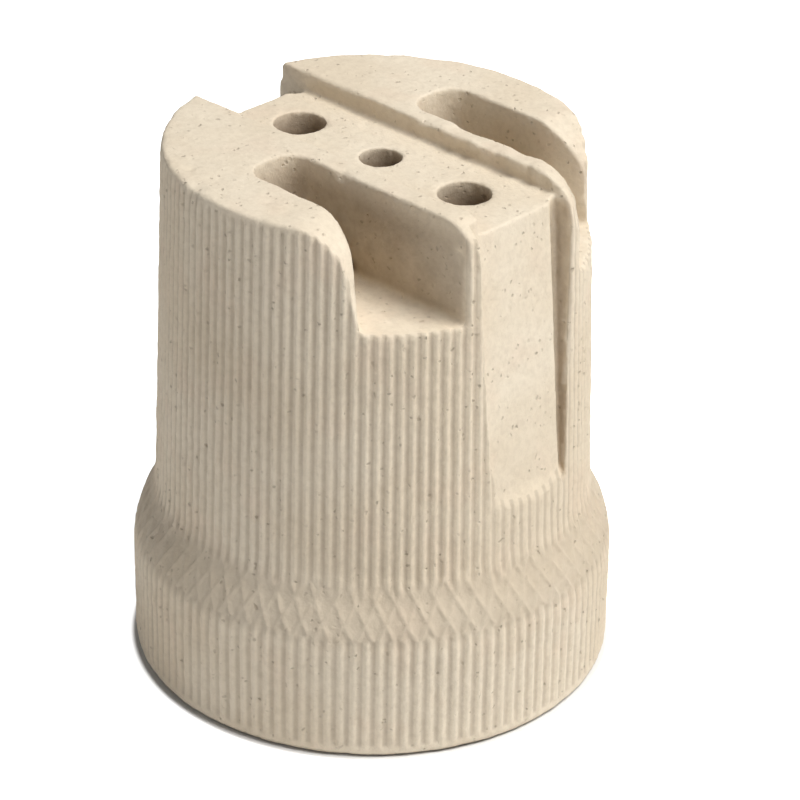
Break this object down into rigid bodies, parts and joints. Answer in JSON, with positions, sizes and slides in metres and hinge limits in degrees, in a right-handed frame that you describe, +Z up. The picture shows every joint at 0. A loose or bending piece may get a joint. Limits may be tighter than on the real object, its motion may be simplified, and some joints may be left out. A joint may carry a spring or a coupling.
{
  "type": "lamp holder",
  "caption": "Ribbed unglazed ceramic E27 screw lamp holder with a bracket channel, two wire slots, a rolled screw shell, a sprung centre contact and screw terminals.",
  "frame": {"origin": "centre of the mouth's rim, on the surface that the holder stands on", "axes": "+Z up, away from the lamp; +X along the bracket channel, towards the open ends of the wire slots; the slot at -Y holds the centre contact's terminal"},
  "size_m": [0.047, 0.047, 0.0534],
  "materials": {
    "ceramic": "unglazed, matt",
    "nickel": "nickel-plated brass, satin",
    "spring": "phosphor bronze, satin",
    "brass": "bare brass, satin",
    "steel": "zinc-plated steel"
  },
  "bodies": {
    "holder": {"ceramic_body": "ceramic", "screw_shell": "nickel", "centre_contact": "spring", "shell_terminal": "brass", "contact_terminal": "brass", "shell_fixing_screw": "steel", "contact_fixing_screw": "steel"},
    "button": {"contact_button": "brass"},
    "shell_clamp": {"shell_clamp_screw": "steel", "shell_clamp_washer": "steel"},
    "contact_clamp": {"contact_clamp_screw": "steel", "contact_clamp_washer": "steel"}
  },
  "joints": [
    {"name": "contact_press", "type": "slide", "parent": "holder", "child": "button", "axis": [0, 0, 1], "range_m": [0, 0.0016], "stiffness_N_per_m": 3000, "deforming": ["centre_contact"]},
    {"name": "shell_clamp_lift", "type": "slide", "parent": "holder", "child": "shell_clamp", "axis": [0, 0, 1], "range_m": [0, 0.002]},
    {"name": "contact_clamp_lift", "type": "slide", "parent": "holder", "child": "contact_clamp", "axis": [0, 0, 1], "range_m": [0, 0.002]}
  ]
}
